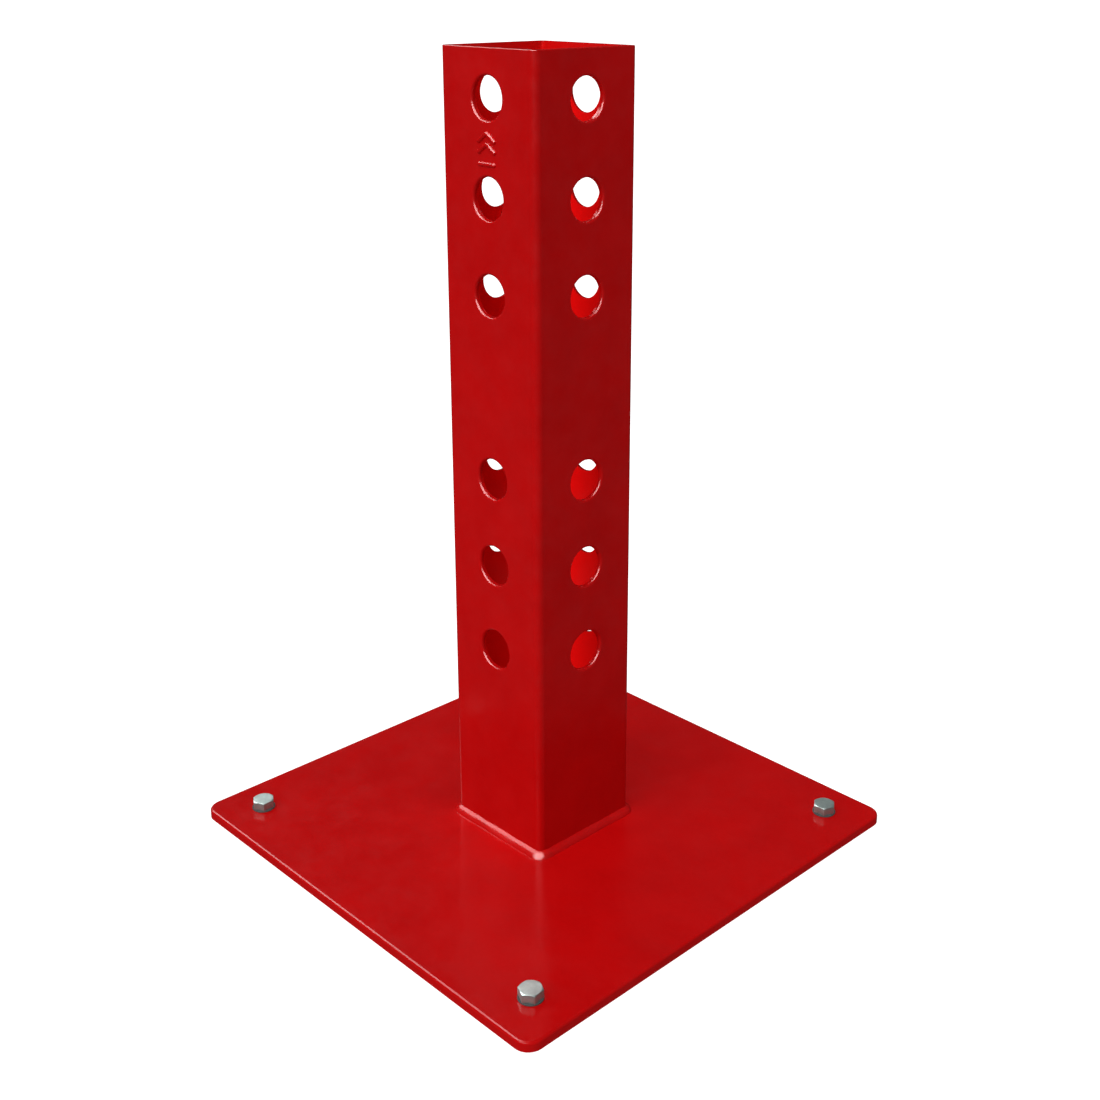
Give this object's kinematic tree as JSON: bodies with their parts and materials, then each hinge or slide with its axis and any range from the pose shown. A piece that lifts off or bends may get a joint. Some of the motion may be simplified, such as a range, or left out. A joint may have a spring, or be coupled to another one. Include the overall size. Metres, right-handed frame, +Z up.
{
  "type": "signpost foot",
  "caption": "Perforated square steel post welded upright on a square base plate, held to the ground by a sleeve anchor near each corner.",
  "frame": {"origin": "centre of the base plate's underside, on the ground", "axes": "+Z up along the post; -Y is the front, the side with the raised mark; +X is the right-hand side"},
  "size_m": [0.32, 0.32, 0.553],
  "materials": {
    "red_powder_coat": "semi-gloss powder coat",
    "zinc_plated_bolt": "bright zinc plating",
    "zinc_plated_washer": "dull zinc plating",
    "zinc_plated_sleeve": "yellow-passivated zinc plating"
  },
  "bodies": {
    "root": {"base_plate": "red_powder_coat", "post_tube": "red_powder_coat", "up_mark": "red_powder_coat", "weld_front": "red_powder_coat", "weld_right": "red_powder_coat", "weld_back": "red_powder_coat", "weld_left": "red_powder_coat", "anchor_bolt_front_left": "zinc_plated_bolt", "anchor_washer_front_left": "zinc_plated_washer", "expansion_sleeve_front_left": "zinc_plated_sleeve", "cone_nut_front_left": "zinc_plated_sleeve", "anchor_bolt_front_right": "zinc_plated_bolt", "anchor_washer_front_right": "zinc_plated_washer", "expansion_sleeve_front_right": "zinc_plated_sleeve", "cone_nut_front_right": "zinc_plated_sleeve", "anchor_bolt_back_right": "zinc_plated_bolt", "anchor_washer_back_right": "zinc_plated_washer", "expansion_sleeve_back_right": "zinc_plated_sleeve", "cone_nut_back_right": "zinc_plated_sleeve", "anchor_bolt_back_left": "zinc_plated_bolt", "anchor_washer_back_left": "zinc_plated_washer", "expansion_sleeve_back_left": "zinc_plated_sleeve", "cone_nut_back_left": "zinc_plated_sleeve"}
  },
  "joints": []
}
